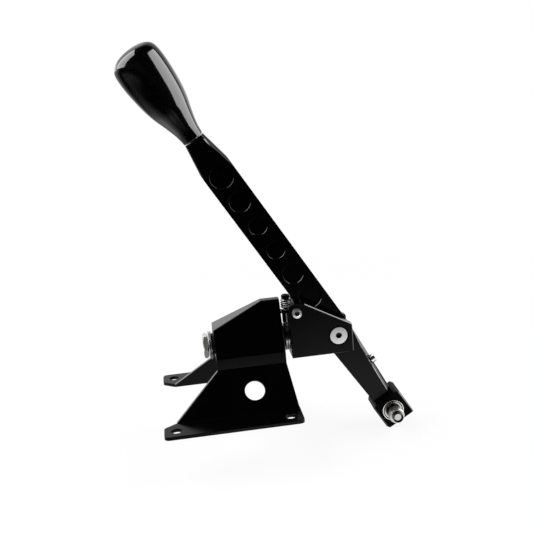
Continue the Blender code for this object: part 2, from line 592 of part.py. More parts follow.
facet = loft([facet_section(FACET_START, LEVER_W + 0.2, LEVER_W + 0.4),
              facet_section(-FACET_BEND, FACET_W0, rear_edge(-FACET_BEND)),
              facet_section(-ARM_L - 3, FACET_W1, rear_edge(-ARM_L - 3))])
combine(lever, facet, "arm_rear_facet")
for k, size in enumerate(POCKET_D):
    height = POCKET_FIRST + k * POCKET_PITCH
    for side_name, sy in (("near", -1), ("far", 1)):
        low_y, high_y = sorted((sy * (LEVER_T + 2), sy * (LEVER_T - POCKET_DEPTH)))
        combine(lever, rod(size / 2, low_y, high_y, STEPS, "Y", (0, 0, height)), f"pocket_{side_name}_{k}")
BUSH2_IN = PIVOT_R + RUN
BUSH2_OUT = BUSH2_IN + LEVER_BUSH_WALL
combine(lever, rod(BUSH2_OUT + GAP, -LEVER_T - 3, LEVER_T + 3, STEPS, "Y"), "lever_pivot_bore")
slot = [(-LEVER_W - 6, -ARM_L - 6), (LEVER_W + 6, -ARM_L - 6), (LEVER_W + 6, -SLOT_TOP), (-LEVER_W - 6, -SLOT_TOP)]
combine(lever, prism(slot, "Y", -SLOT_W / 2, SLOT_W / 2), "lever_slot")
combine(lever, rod(KNOB_STUD_R + GAP, LEVER_L - KNOB_STUD_DEPTH, LEVER_L + 3, STEPS_SMALL, "Z"), "lever_stud_bore")
spot = rear_edge(-CLAMP_AT) - 1.2
combine(lever, rod(CLAMP_HEAD_R + GAP, spot, spot + 12, STEPS_SMALL, "X", (0, 0, -CLAMP_AT)), "clamp_spot_face")
combine(lever, rod(CLAMP_R + GAP, TANG_W1 - 1, spot + 1, STEPS_SMALL, "X", (0, 0, -CLAMP_AT)), "clamp_hole")

FLANGE_IN = LEVER_T + GAP
FLANGE_OUT = CHEEK_Y - GAP
for label, sy in (("near", -1), ("far", 1)):
    profile = [(BUSH2_IN, sy * FLANGE_OUT), (LEVER_BUSH_R, sy * FLANGE_OUT), (LEVER_BUSH_R, sy * FLANGE_IN),
               (BUSH2_OUT, sy * FLANGE_IN), (BUSH2_OUT, sy * GAP / 2), (BUSH2_IN, sy * GAP / 2)]
    place(f"lever_bush_{label}", turned(profile, STEPS, "Y", closed=True), BUSHING, swing)

KNOB_Z = LEVER_L + KNOB_GAP
stud_top = KNOB_Z + KNOB_STUD_REACH
place("knob_stud", rod(KNOB_STUD_R, LEVER_L - KNOB_STUD_DEPTH + 1, stud_top, STEPS_SMALL, "Z"), STEEL, swing)
bore_r = KNOB_STUD_R + GAP
shape = [(0, KNOB_Z + KNOB_STUD_REACH + 1), (bore_r, KNOB_Z + KNOB_STUD_REACH + 1), (bore_r, KNOB_Z)]
shape += [(r, KNOB_Z + h) for r, h in KNOB_PROFILE]
place("shift_knob", turned(shape, STEPS, "Z"), KNOB_GLOSS, swing)

screw = cap_screw(CLAMP_R, spot + GAP - TANG_W1 - GAP, CLAMP_HEAD_R, CLAMP_HEAD_T)
aim = Matrix.Translation(Vector((spot + GAP, 0, -CLAMP_AT)) * MM) @ Matrix.Rotation(math.pi / 2, 4, "Y")
bmesh.ops.transform(screw, matrix=aim, verts=screw.verts)
place("throw_clamp_screw", screw, BRIGHT, swing)

# Cable block, which slides on its tang in the slot of the arm
slide = pivot("throw_slide", (0, 0, -BLOCK_TOP))
slide.parent = swing
c = BLOCK_CHAMFER
shape = [(-BLOCK_W0, -BLOCK_H + c), (-BLOCK_W0 + c, -BLOCK_H), (BLOCK_W1 - c * 0.4, -BLOCK_H),
         (BLOCK_W1, -BLOCK_H + c * 0.4), (BLOCK_W1, -c), (BLOCK_W1 - c, 0), (-BLOCK_W0 + c, 0), (-BLOCK_W0, -c)]
cable_block = place("cable_block", prism(shape, "Y", -BLOCK_Y, BLOCK_Y), BLOCK_GREY, slide)
tang = [(-TANG_W0, -2), (TANG_W1, -2), (TANG_W1, TANG_L), (-TANG_W0, TANG_L)]
combine(cable_block, prism(tang, "Y", -SLOT_W / 2 + GAP, SLOT_W / 2 - GAP), "block_tang", "UNION")
BALL_Z = BLOCK_TOP - BEARING_AT
SEAT_END = -BLOCK_Y - RACE_PROUD + RACE_L + GAP
combine(cable_block, rod(RACE_R + GAP, -BLOCK_Y - 3, SEAT_END, STEPS, "Y", (BEARING_W, 0, BALL_Z)), "race_seat")
combine(cable_block, rod(RELIEF_R, -BLOCK_Y, BLOCK_Y + 3, STEPS, "Y", (BEARING_W, 0, BALL_Z)), "block_relief")
BALL_Y = -BLOCK_Y - RACE_PROUD + RACE_L / 2


def arc(radius, half, count=8):
    """Heights and radii along a sphere between -half and +half."""
    return [(math.sqrt(radius * radius - h * h), h) for h in (half * (2 * k / count - 1) for k in range(count + 1))]


race = [(RACE_R, RACE_L / 2), (RACE_R, -RACE_L / 2)] + arc(BALL_R + GAP, RACE_L / 2)
place("bearing_race", turned(race, STEPS, "Y", (BEARING_W, BALL_Y, BALL_Z), closed=True), CHROME, slide)

# Cable stud, which swivels in the bearing
ball = pivot("ball_centre", (BEARING_W, BALL_Y, BALL_Z))
ball.parent = slide
shell = [(PIN_R + GAP, BALL_L / 2), (PIN_R + GAP, -BALL_L / 2)] + arc(BALL_R, BALL_L / 2)
place("bearing_ball", turned(shell, STEPS, "Y", closed=True), CHROME, ball)
END_Y = -SLEEVE_START - SLEEVE_L
COLLAR_Y = END_Y + SLEEVE_COLLAR_L
sleeve = ((PIN_R + GAP, -SLEEVE_START), (PIN_R + GAP, END_Y), (SLEEVE_R - 0.6, END_Y), (SLEEVE_R, END_Y + 0.6),
          (SLEEVE_R, COLLAR_Y - 0.6), (SLEEVE_R - 0.6, COLLAR_Y), (SLEEVE_FOOT_R, COLLAR_Y),
          (SLEEVE_FOOT_R, -SLEEVE_START))
place("stud_sleeve", turned(sleeve, STEPS, "Y", closed=True), BRIGHT, ball)
HEAD_Y = BALL_L / 2 + GAP
OUTER_Y = END_Y - GAP
CHAMFER = STUD_HEAD_R - STUD_END_R
pin = ((0, OUTER_Y - STUD_HEAD_T), (STUD_END_R, OUTER_Y - STUD_HEAD_T), (STUD_HEAD_R, OUTER_Y - STUD_HEAD_T + CHAMFER),
       (STUD_HEAD_R, OUTER_Y), (PIN_R, OUTER_Y), (PIN_R, HEAD_Y), (PIN_R + PIN_HEAD_RIM, HEAD_Y),
       (PIN_R + PIN_HEAD_RIM, HEAD_Y + PIN_HEAD_T), (0, HEAD_Y + PIN_HEAD_T))
place("cable_stud", turned(pin, STEPS_SMALL, "Y"), BRIGHT, ball)
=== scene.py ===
import math

import bmesh
import bpy
from mathutils import Matrix, Vector


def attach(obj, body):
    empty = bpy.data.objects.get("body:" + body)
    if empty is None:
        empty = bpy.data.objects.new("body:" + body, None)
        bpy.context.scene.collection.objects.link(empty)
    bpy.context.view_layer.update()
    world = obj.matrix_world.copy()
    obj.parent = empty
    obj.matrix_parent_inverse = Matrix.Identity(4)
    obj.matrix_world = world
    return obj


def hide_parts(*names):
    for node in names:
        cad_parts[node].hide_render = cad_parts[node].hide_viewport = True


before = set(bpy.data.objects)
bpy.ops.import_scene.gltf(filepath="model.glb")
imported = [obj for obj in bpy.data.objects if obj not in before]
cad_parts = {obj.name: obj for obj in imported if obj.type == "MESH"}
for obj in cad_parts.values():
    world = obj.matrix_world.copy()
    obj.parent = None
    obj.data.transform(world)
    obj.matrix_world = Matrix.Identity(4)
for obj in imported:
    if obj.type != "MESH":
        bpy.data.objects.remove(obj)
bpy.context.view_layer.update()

# Lengths are written in millimetres and scaled once, when a piece is finished
MM = 0.001
TO_METRES = Matrix.Scale(MM, 4)
ROUND = 72           # facets of the turned pieces
FINE = 48            # facets of the small screws

# Places shared by several pieces
AXIS_Z = 51.0        # gate shaft
PIVOT_X = 97.1       # lever pivot
LEAN = math.radians(30.8)
BOX_X0 = -7.7        # nose of the bracket's box
BOX_X1 = 50.4        # rear of the box
YOKE_Y = 16.0        # outer face of a cheek
POST_X = 56.2        # stop post
LEVER_L = 202.4      # top of the bar
LEVER_Y = 6.5        # half thickness of the bar
CAP_SCREW_X = 62.6   # screws of the stop block
CAP_SCREW_Z = 75.6
GAP = 0.3            # clearance between neighbours
BALL_W = -0.7        # ball centre across the lever, and along it
BALL_U = -87.4
BALL_Y = -8.7
LEVER_FRAME = Matrix.Translation((PIVOT_X, 0, AXIS_Z)) @ Matrix.Rotation(-LEAN, 4, "Y")
BALL_CENTRE = LEVER_FRAME @ Vector((BALL_W, BALL_Y, BALL_U))


# Finishes

class Wire:
    """A shader socket that takes part in Python arithmetic."""

    def __init__(self, finish, socket):
        self.finish = finish
        self.socket = socket

    def math(self, operation, first, second):
        return self.finish.node("Math", {"operation": operation}, {0: first, 1: second})

    def __add__(self, other):
        return self.math("ADD", self, other)

    def __sub__(self, other):
        return self.math("SUBTRACT", self, other)

    def __rsub__(self, other):
        return self.math("SUBTRACT", other, self)

    def __mul__(self, other):
        return self.math("MULTIPLY", self, other)

    def __truediv__(self, other):
        return self.math("DIVIDE", self, other)

    def __pow__(self, other):
        return self.math("POWER", self, other)

    def __gt__(self, other):
        return self.math("GREATER_THAN", self, other)

    __radd__ = __add__
    __rmul__ = __mul__


class Finish:
    """A material whose nodes are added by type and joined by expressions."""

    def __init__(self, name):
        self.material = bpy.data.materials.new(name)
        self.material.use_nodes = True
        self.tree = self.material.node_tree
        self.tree.nodes.clear()
        self.place = self.node("TexCoord", output="Object")

    def node(self, kind, settings=None, inputs=None, output=0):
        made = self.tree.nodes.new("ShaderNode" + kind)
        for key, value in (settings or {}).items():
            setattr(made, key, value)
        for key, value in (inputs or {}).items():
            if isinstance(value, Wire):
                self.tree.links.new(value.socket, made.inputs[key])
            else:
                made.inputs[key].default_value = value
        return Wire(self, made.outputs[output]) if made.outputs else None

    def noise(self, size, detail=2.0, roughness=0.5, stretch=(1, 1, 1), turn=(0, 0, 0), output="Fac"):
        """Noise whose features are about the given size in millimetres, stretched along its axes."""
        where = self.place
        if stretch != (1, 1, 1) or turn != (0, 0, 0):
            scale = tuple(1 / s for s in stretch)
            where = self.node("Mapping", {}, {"Vector": where, "Rotation": turn, "Scale": scale})
        return self.node("TexNoise", {}, {"Vector": where, "Scale": 1 / (size * MM), "Detail": detail,
                                          "Roughness": roughness}, output)

    def mix(self, share, first, second):
        """Colour between two colours."""
        return self.node("Mix", {"data_type": "RGBA"}, {0: share, 6: first, 7: second}, 2)

    def range(self, value, low, high, to_low=0.0, to_high=1.0):
        return self.node("MapRange", {}, {0: value, 1: low, 2: high, 3: to_low, 4: to_high})

    def about(self, centre, axis):
        """Place measured from a centre in millimetres, with the given axis turned onto Z."""
        turn = {"X": (0, math.pi / 2, 0), "Y": (math.pi / 2, 0, 0), "Z": (0, 0, 0)}[axis]
        start = tuple(c * MM for c in centre)
        moved = self.node("VectorMath", {"operation": "SUBTRACT"}, {0: self.place, 1: start})
        return self.node("Mapping", {"vector_type": "POINT"}, {"Vector": moved, "Rotation": turn})

    def rings(self, turned, pitch):
        """Turning marks: rings about the Z axis of a turned place."""
        return self.node("TexWave", {"wave_type": "RINGS", "rings_direction": "Z"},
                         {"Vector": turned, "Scale": 1 / (pitch * MM * math.tau) * 3.1, "Distortion": 0.6,
                          "Detail": 1.0, "Detail Scale": 2.0}, "Fac")

    def finish(self, colour, roughness, relief=None, depth=0.02, strength=1.0, **sockets):
        """Joins the Principled shader. Relief is a height from 0 to 1, and depth its size in millimetres."""
        inputs = {"Base Color": colour, "Roughness": roughness}
        for key, value in sockets.items():
            inputs[key.replace("_", " ")] = value
        if relief is not None:
            bump = {"Height": relief, "Distance": depth * MM, "Strength": strength}
            inputs["Normal"] = self.node("Bump", {}, bump, "Normal")
        shader = self.node("BsdfPrincipled", {}, inputs)
        self.node("OutputMaterial", {}, {"Surface": shader})
        return self.material


def grey(level, tint=(1.0, 1.0, 1.0)):
    return (level * tint[0], level * tint[1], level * tint[2], 1.0)


def powder_coat(name, level, sheen, texture=0.9, specular=0.2):
    """Stoved black powder paint: fine orange peel, faint clouding and a few pale specks."""
    f = Finish(name)
    cloud = f.noise(22, 3.0, 0.55)
    peel = f.noise(texture, 2.0, 0.6)
    fine = f.noise(0.25, 2.0, 0.5)
    speck = f.range(f.noise(0.5, 1.0, 0.5), 0.74, 0.8)
    colour = f.mix(f.range(cloud, 0.3, 0.7), grey(level * 0.8), grey(level * 1.25, (1.0, 1.0, 1.04)))
    colour = f.mix(speck * 0.35, colour, grey(level * 4 + 0.003))
    rough = f.range(cloud, 0.3, 0.7, sheen - 0.05, sheen + 0.05) + (fine - 0.5) * 0.08
    relief = peel * 0.75 + fine * 0.25
    return f.finish(colour, rough, relief, 0.02, 0.2, Specular_IOR_Level=specular)


def anodised(name, level, sheen, tint, metallic, grain=0.35, specular=0.2):
    """Bead-blasted and anodised aluminium: fine even grain, slow change of tone, faint milling lines."""
    f = Finish(name)
    cloud = f.noise(30, 2.0, 0.5)
    blast = f.noise(grain, 3.0, 0.65)
    mill = f.noise(1.2, 2.0, 0.5, (12, 12, 0.5))
    colour = f.mix(f.range(cloud, 0.3, 0.7), grey(level * 0.85, tint), grey(level * 1.2, tint))
    colour = f.mix(f.range(blast, 0.45, 0.75) * 0.35, colour, grey(level * 2.0, tint))
    rough = f.range(blast, 0.3, 0.7, sheen - 0.04, sheen + 0.04) + (mill - 0.5) * 0.04
    return f.finish(colour, rough, blast * 0.8 + mill * 0.2, 0.012, 0.25, Metallic=metallic,
                    Specular_IOR_Level=specular)


def polished_black(name):
    """Moulded gloss-black grip: deep even black, a clear skin, faint flow marks and handling haze."""
    f = Finish(name)
    flow = f.noise(26, 2.0, 0.5, (1, 1, 2.5), (0, LEAN, 0))
    haze = f.noise(3.0, 3.0, 0.6)
    colour = f.mix(f.range(flow, 0.3, 0.7), grey(0.0008), grey(0.0016, (1.0, 1.0, 1.06)))
    rough = f.range(haze, 0.3, 0.75, 0.09, 0.13)
    return f.finish(colour, rough, flow * 0.6 + haze * 0.02, 0.03, 0.12, Specular_IOR_Level=0.5,
                    Coat_Weight=f.range(haze, 0.2, 0.8, 0.45, 0.6), Coat_Roughness=0.07)


def turned_metal(name, centre, axis, level, tint, sheen, pitch=0.8, blotch=0.06, painted_shade_radii=None):
    """Lathe-turned or plated steel: faint rings about its own axis, slight staining.

    A pair of radii in millimetres gives painted shade: the metal is painted dark at the first radius, as
    shade in a socket, hollow or recessed ring, and keeps its own colour at the second.
    """
    f = Finish(name)
    turned = f.about(centre, axis)
    ring = f.rings(turned, pitch)
    stain = f.noise(3.2, 2.0, 0.5)
    colour = f.mix(f.range(stain, 0.35, 0.7) * blotch * 4, grey(level, tint), grey(level * 0.72, tint))
    # Painted shade: on one side of the given radii the metal is painted near black, standing in for the shade
    # in a socket, hollow or recessed ring.
    if painted_shade_radii:
        flat = f.node("VectorMath", {"operation": "MULTIPLY"}, {0: turned, 1: (1, 1, 0)})
        away = f.node("VectorMath", {"operation": "LENGTH"}, {0: flat}, "Value")
        colour = f.mix(f.range(away, painted_shade_radii[0] * MM, painted_shade_radii[1] * MM), grey(0.05), colour)
    rough = sheen + (ring - 0.5) * 0.04 + (stain - 0.5) * 0.08
    return f.finish(colour, rough, ring, 0.002, 0.12, Metallic=1.0)


def moulded_bush(name):
    """Filled black polymer: dull, finely mottled."""
    f = Finish(name)
    mottle = f.noise(0.8, 3.0, 0.6)
    colour = f.mix(f.range(mottle, 0.35, 0.7), grey(0.012), grey(0.026))
    return f.finish(colour, 0.5 + (mottle - 0.5) * 0.15, mottle, 0.02, 0.4, Specular_IOR_Level=0.35)


NEUTRAL = (1.0, 0.99, 0.97)
COOL = (0.97, 0.99, 1.0)
WARM = (1.0, 0.985, 0.92)
OLIVE = (1.0, 0.99, 0.8)
BALL_SPOT = tuple(BALL_CENTRE)
BRACKET_BLACK = powder_coat("bracket_powder_black", 0.0005, 0.2, specular=0.11)
PLATE_BLACK = powder_coat("bulkhead_powder_black", 0.0008, 0.3, 1.2, 0.16)
YOKE_GREY = anodised("yoke_charcoal_anodised", 0.0012, 0.24, (1.0, 1.01, 1.12), 0.0, 0.35, 0.13)
LEVER_FINISH = anodised("lever_black_anodised", 0.0006, 0.2, (1.0, 1.0, 1.06), 0.0, 0.35, 0.13)
# Machined edge finish, lighter and glossier than the anodising; it is given only to chamfers facing the
# lamps, where it is a painted highlight.
EDGE_HIGHLIGHT_GREY = anodised("machined_edge_painted_highlight", 0.004, 0.15, (1.0, 1.0, 1.02), 0.0, 0.3, 1.0)
BLOCK_EDGE = anodised("block_edge_grey", 0.004, 0.2, (1.0, 1.0, 1.02), 0.0, 0.3, 0.45)
# Painted shade: a near black with almost no gloss, put in the gap round the pivot bolt's head and in the
# bearing race's grooves, where there is only shade.
PAINTED_GAP_SHADE = anodised("countersink_painted_shade", 0.0006, 0.5, (1.0, 1.0, 1.0), 0.0, 0.3, 0.02)
BLOCK_FINISH = anodised("block_charcoal_anodised", 0.0008, 0.22, (1.0, 1.0, 1.04), 0.0, 0.3, 0.025)
KNOB_FINISH = polished_black("knob_polished_black")
BUSH_FINISH = moulded_bush("bush_black_polymer")
SHAFT_STEEL = turned_metal("shaft_turned_steel", (0, 0, AXIS_Z), "X", 0.42, NEUTRAL, 0.2)
WASHER_ZINC = turned_metal("washer_zinc_plate", (0, 0, AXIS_Z), "X", 0.62, COOL, 0.34)
NUT_ZINC = turned_metal("nut_zinc_plate", (0, 0, AXIS_Z), "X", 0.74, WARM, 0.4)
# Painted shade from pairs of radii: the pivot bolt's and small screws' sockets, the hollow of the bearing
# race and ball, and the ring round the cable pin's end.
BOLT_STEEL = turned_metal("pivot_bolt_bright_steel", (PIVOT_X, 0, AXIS_Z), "Y", 0.92, NEUTRAL, 0.33,
                          painted_shade_radii=(2.5, 2.8))
POST_STEEL = turned_metal("stop_post_bright_steel", (POST_X, 0, 80), "Z", 0.82, NEUTRAL, 0.16)
SCREW_STEEL = turned_metal("small_screw_bright_steel", (CAP_SCREW_X, 0, CAP_SCREW_Z), "Y", 0.95, NEUTRAL, 0.3,
                           painted_shade_radii=(2.1, 2.3))
CLAMP_STEEL = turned_metal("clamp_screw_bright_steel", (110, 0, 20), "X", 0.8, NEUTRAL, 0.25)
RACE_CHROME = turned_metal("bearing_race_chrome", BALL_SPOT, "Y", 0.68, WARM, 0.24, blotch=0.03,
                           painted_shade_radii=(6.2, 7.4))
BALL_CHROME = turned_metal("bearing_ball_chrome", BALL_SPOT, "Y", 0.62, OLIVE, 0.2, blotch=0.03,
                           painted_shade_radii=(5.2, 6.8))
STUD_STEEL = turned_metal("cable_stud_bright_steel", BALL_SPOT, "Y", 0.5, NEUTRAL, 0.32, blotch=0.03)
PIN_STEEL = turned_metal("cable_pin_bright_steel", BALL_SPOT, "Y", 0.5, NEUTRAL, 0.3, blotch=0.03,
                         painted_shade_radii=(3.3, 3.1))
OXIDE_BLACK = anodised("screw_black_oxide", 0.001, 0.3, (1.0, 1.0, 1.02), 0.0, 0.2, 0.15)
SPRING_STEEL = turned_metal("spring_bright_steel", (POST_X, 0, 80), "Z", 0.75, NEUTRAL, 0.42)


# Shaping helpers

def spun(profile, steps=ROUND, closed=True):
    """Solid of revolution about Z from (radius, height) pairs."""
    bm = bmesh.new()
    chain = [bm.verts.new((r, 0, h)) for r, h in profile]
    edges = [bm.edges.new(pair) for pair in zip(chain, chain[1:])]
    if closed and profile[0][0] > 0:
        edges.append(bm.edges.new((chain[-1], chain[0])))
    bmesh.ops.spin(bm, geom=chain + edges, cent=(0, 0, 0), axis=(0, 0, 1), angle=math.tau, steps=steps,
                   use_merge=True)
    bmesh.ops.remove_doubles(bm, verts=bm.verts, dist=0.0005)
    bmesh.ops.recalc_face_normals(bm, faces=bm.faces)
    return bm


def aimed(bm, axis, centre=(0, 0, 0), frame_matrix=None):
    """Turns a shape made about Z onto another axis and moves it to its centre."""
    turn = {"X": Matrix.Rotation(math.pi / 2, 4, "Y"), "-X": Matrix.Rotation(-math.pi / 2, 4, "Y"),
            "Y": Matrix.Rotation(-math.pi / 2, 4, "X"), "-Y": Matrix.Rotation(math.pi / 2, 4, "X"),
            "Z": Matrix.Identity(4)}[axis]
    matrix = Matrix.Translation(centre) @ turn
    if frame_matrix:
        matrix = frame_matrix @ matrix
    bmesh.ops.transform(bm, matrix=matrix, verts=bm.verts)
    return bm


def soften(bm, width, segments=2, sharper=28.0, keep=None, mark=0, painted_highlight=False):
    """Bevels the edges whose faces meet at more than the given angle.

    The new faces take the finish numbered mark. When the last flag is set, only the faces turned upward or to
    the right, towards the lamps, take it, as a painted highlight; the others keep the first finish.
    """
    limit = math.radians(sharper)
    edges = [e for e in bm.edges if len(e.link_faces) == 2 and e.calc_face_angle(0) > limit
             and (keep is None or keep(e))]
    made = bmesh.ops.bevel(bm, geom=edges, offset=width, offset_type="OFFSET", segments=segments, profile=0.5,
                           affect="EDGES", clamp_overlap=False, material=-1)
    for face in made["faces"] if mark else ():
        # Painted highlight: the lighter edge finish goes only on faces turned towards the lamps.
        face.material_index = 0 if painted_highlight and face.normal.z < 0.15 and face.normal.x < 0.5 else mark
    return bm


def hex_reach(angle):
    """Distance to a hexagon's side, over half its width across flats, at an angle."""
    return 1 / math.cos((angle + math.pi / 6) % (math.pi / 3) - math.pi / 6)


def socketed(bm, radius, above):
    """Presses a round recess of the given radius into a hexagonal one, above a height."""
    for v in bm.verts:
        r = math.hypot(v.co.x, v.co.y)
        if 0.01 < r < radius and v.co.z > above:
            reach = hex_reach(math.atan2(v.co.y, v.co.x)) * math.cos(math.pi / 6)
            v.co.x *= reach
            v.co.y *= reach


def knurled(bm, radius, depth):
    """Straight knurl: every other point of the rim is pressed in."""
    for v in bm.verts:
        r = math.hypot(v.co.x, v.co.y)
        if abs(r - radius) < 0.02 and round(math.atan2(v.co.y, v.co.x) / math.tau * FINE) % 2:
            v.co.x *= 1 - depth / r
            v.co.y *= 1 - depth / r


def thread(radius, low, high, pitch=1.0):
    """Profile points of a thread's rings, upward from low to high."""
    count = max(1, int((high - low) / pitch))
    root = radius - pitch * 0.5
    step = (high - low) / count
    points = []
    for k in range(count):
        z = low + (high - low) * k / count
        points += [(root, z + step * 0.08), (radius, z + step * 0.42), (radius, z + step * 0.58),
                   (root, z + step * 0.92)]
    return points


def cap_screw(radius, length, head_r, head_t, pitch=0.7):
    """Socket-head screw, head upward from z = 0, with a knurled rim and a threaded shank."""
    socket = head_r * 0.6
    depth = head_t * 0.5
    profile = [(0, -length), (radius - 0.35, -length)] + thread(radius, -length + 0.4, -0.8, pitch)
    profile += [(radius, -0.5), (radius, 0), (head_r - 0.25, 0), (head_r, 0.3), (head_r, head_t - 0.5),
                (head_r - 0.18, head_t - 0.16), (head_r - 0.55, head_t), (socket + 0.28, head_t),
                (socket, head_t - 0.28), (socket, head_t - depth), (0, head_t - depth - socket * 0.35)]
    bm = spun(profile, FINE)
    socketed(bm, socket + 0.3, head_t - depth - 0.05)
    knurled(bm, head_r, 0.13)
    return bm


def hex_nut(flats, bore, height, collar=0.0):
    """Hexagon nut with chamfered corners and a countersunk bore. Collar is the height of a locking ring."""
    face_r = flats / 2 * 0.96
    corner_r = flats / math.sqrt(3)
    drop = (corner_r - face_r) * math.tan(math.radians(30))
    profile = [(bore, 0.6), (bore + 0.6, 0), (face_r, 0), (corner_r, drop), (corner_r, height - drop),
               (face_r, height)]
    if collar:
        profile += [(face_r * 0.86, height), (face_r * 0.84, height + collar * 0.6),
                    (face_r * 0.74, height + collar), (bore + 0.3, height + collar),
                    (bore, height + collar * 0.4)]
    else:
        profile += [(bore + 0.6, height), (bore, height - 0.6)]
    bm = spun(profile)
    for v in bm.verts:
        r = math.hypot(v.co.x, v.co.y)
        if r > face_r + 0.05:
            reach = flats / 2 * hex_reach(math.atan2(v.co.y, v.co.x))
            slide = drop * max(0.0, reach - face_r) / (corner_r - face_r)
            v.co.z = slide if v.co.z < height / 2 else height - slide
            v.co.x *= reach / r
            v.co.y *= reach / r
    return bm


def washer(bore, radius, thickness, ease=0.2):
    return spun([(bore, ease), (bore + ease, 0), (radius - ease * 1.6, 0), (radius, ease * 1.2),
                 (radius, thickness - ease * 1.2), (radius - ease * 1.6, thickness), (bore + ease, thickness),
                 (bore, thickness - ease)])


def from_solid(node, flat=0.4):
    """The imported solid's mesh, merged and with its flat faces made whole, in millimetres."""
    bm = bmesh.new()
    bm.from_mesh(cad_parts[node].data)
    bmesh.ops.transform(bm, matrix=Matrix.Scale(1 / MM, 4), verts=bm.verts)
    bmesh.ops.remove_doubles(bm, verts=bm.verts, dist=0.05)
    bmesh.ops.dissolve_limit(bm, angle_limit=math.radians(flat), use_dissolve_boundaries=False,
                             verts=bm.verts, edges=bm.edges)
    return bm


def piece(name, bm, body, finish, nodes=(), modifiers=(), smooth=32.0, flat=None, extra=()):
    """Finishes a piece: metres, shading, material, body, material slot and the solids that it stands for."""
    bmesh.ops.recalc_face_normals(bm, faces=bm.faces)
    rounded = [flat is None or face.calc_area() < flat for face in bm.faces]
    bmesh.ops.transform(bm, matrix=TO_METRES, verts=bm.verts)
    mesh = bpy.data.meshes.new(name)
    bm.to_mesh(mesh)
    bm.free()
    obj = bpy.data.objects.new(name, mesh)
    bpy.context.scene.collection.objects.link(obj)
    for each in (finish, *extra):
        mesh.materials.append(each)
    mesh.set_sharp_from_angle(angle=math.radians(smooth))
    mesh.polygons.foreach_set("use_smooth", rounded)
    for kind, settings in modifiers:
        change = obj.modifiers.new(kind.lower(), kind)
        for key, value in settings.items():
            setattr(change, key, value)
    weighted = obj.modifiers.new("even_shading", "WEIGHTED_NORMAL")
    weighted.keep_sharp = True
    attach(obj, body)
    if nodes:
        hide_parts(*nodes)
    return obj


# Bracket: one bent sheet, with round bends and eased rims

bracket = from_solid("saddle_bracket")


def bend(edge):
    """Bend lines of the sheet: nearly fore and aft, or across the roof where the cover meets the ridge."""
    one, two = (v.co for v in edge.verts)
    run = two - one
    return (abs(run.x) > 0.8 * run.length and run.length > 8 and edge.calc_face_angle(0) < math.radians(75)
            or abs(one.x - two.x) < 0.05 and abs(one.x - 34.5) < 3 and min(one.z, two.z) > 80)


soften(bracket, 0.8, 3, 10.0, bend)
soften(bracket, 0.3, 2, 48.0, lambda e: e.calc_length() > 0.2)
piece("bracket_bent_sheet", bracket, "base", BRACKET_BLACK, ["saddle_bracket"], smooth=40,
      flat=100)
for label in ("front", "rear"):
    bm = soften(from_solid(f"{label}_plate"), 0.3)
    piece(f"bulkhead_{label}", bm, "base", PLATE_BLACK, [f"{label}_plate"], flat=60)

for label, face, way in (("front", BOX_X0, "-X"), ("rear", BOX_X1, "X")):
    bm = spun([(6.08, 1.8), (10.0 - 0.3, 1.8), (10.0, 1.5), (10.0, 0.3), (8.08, 0.3), (8.08, -9.0),
               (7.7, -9.3), (6.08, -9.3)])
    piece(f"flanged_bush_{label}", aimed(bm, way, (face, 0, AXIS_Z)), "base", BUSH_FINISH,
          [f"{label}_bush"])

# Stop post behind the box
BARREL_Z0 = 63.6
TONGUE_TOP = 74.3
POST = (POST_X, 0, 0)
barrel = spun([(2.3, BARREL_Z0 + 0.3), (2.6, BARREL_Z0), (3.5, BARREL_Z0), (3.9, BARREL_Z0 + 0.4),
               (3.9, 72.1), (3.5, 72.5), (2.6, 72.5), (2.3, 72.2)], FINE)
piece("stop_post_barrel", aimed(barrel, "Z", POST), "base", POST_STEEL, ["stop_barrel"])
low_z = TONGUE_TOP + GAP
spring_z = low_z + 0.9 + GAP
high_z = spring_z + 7.0 + GAP
head_z = high_z + 0.9 + GAP
for label, z in (("low", low_z), ("high", high_z)):
    bm = aimed(washer(2.3, 4.6, 0.9, 0.15), "Z", (POST_X, 0, z))
    piece(f"stop_post_washer_{label}", bm, "base", POST_STEEL, [f"stop_washer_{label}"])
bolt = cap_screw(2.0, head_z - BARREL_Z0 - 1.2, 3.5, 3.4)
piece("stop_post_screw", aimed(bolt, "Z", (POST_X, 0, head_z)), "base", OXIDE_BLACK,
      ["stop_screw"])


def coil_spring(radius, wire, turns, length):
    """Round-wire compression spring standing on z = 0."""
    bm = bmesh.new()
    made = bmesh.ops.create_circle(bm, cap_ends=True, segments=14, radius=wire)
    turn = Matrix.Translation((radius, 0, wire)) @ Matrix.Rotation(math.pi / 2, 4, "X")
    bmesh.ops.transform(bm, matrix=turn, verts=made["verts"])
    steps = int(turns * 36)
    rise = (length - 2 * wire) / steps
    bmesh.ops.spin(bm, geom=bm.faces[:] + bm.edges[:] + bm.verts[:], cent=(0, 0, 0), axis=(0, 0, 1),
                   dvec=(0, 0, rise), angle=math.tau * turns, steps=steps, use_merge=False,
                   use_duplicate=False)
    bmesh.ops.remove_doubles(bm, verts=bm.verts, dist=0.0005)
    bmesh.ops.recalc_face_normals(bm, faces=bm.faces)
    return bm


spring = aimed(coil_spring(4.0, 0.6, 3.0, 7.0), "Z", (POST_X, 0, spring_z))
piece("stop_post_spring", spring, "base", SPRING_STEEL, ["stop_spring"], smooth=60)

